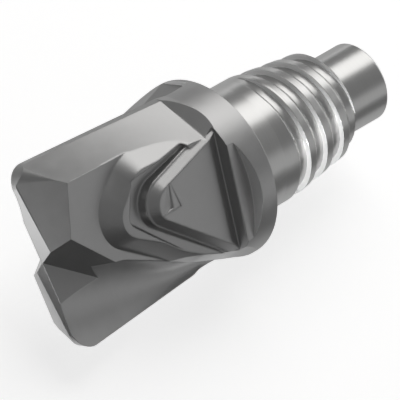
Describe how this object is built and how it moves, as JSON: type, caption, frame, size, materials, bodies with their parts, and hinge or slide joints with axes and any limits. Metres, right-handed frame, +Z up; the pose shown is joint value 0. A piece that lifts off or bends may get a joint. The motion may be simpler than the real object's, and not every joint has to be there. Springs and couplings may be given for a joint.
{
  "type": "exchangeable milling head",
  "caption": "Exchangeable carbide square-shoulder milling head: helical cutting edges with chip formers, gashed end face, wrench flats, seating collar and tapered threaded shank with a pilot.",
  "frame": {"origin": "On the tool axis, in the collar's rear face, which seats on the holder.", "axes": "The tool axis lies along X: the cutting end points to -X and the threaded shank to +X. +Z is up: the head lies on its side, turned as it comes to rest, with the flank of one tooth below."},
  "size_m": [0.0369, 0.0154, 0.0154],
  "materials": {
    "milling_head": "satin"
  },
  "bodies": {
    "root": {"milling_head": "milling_head"}
  },
  "joints": []
}
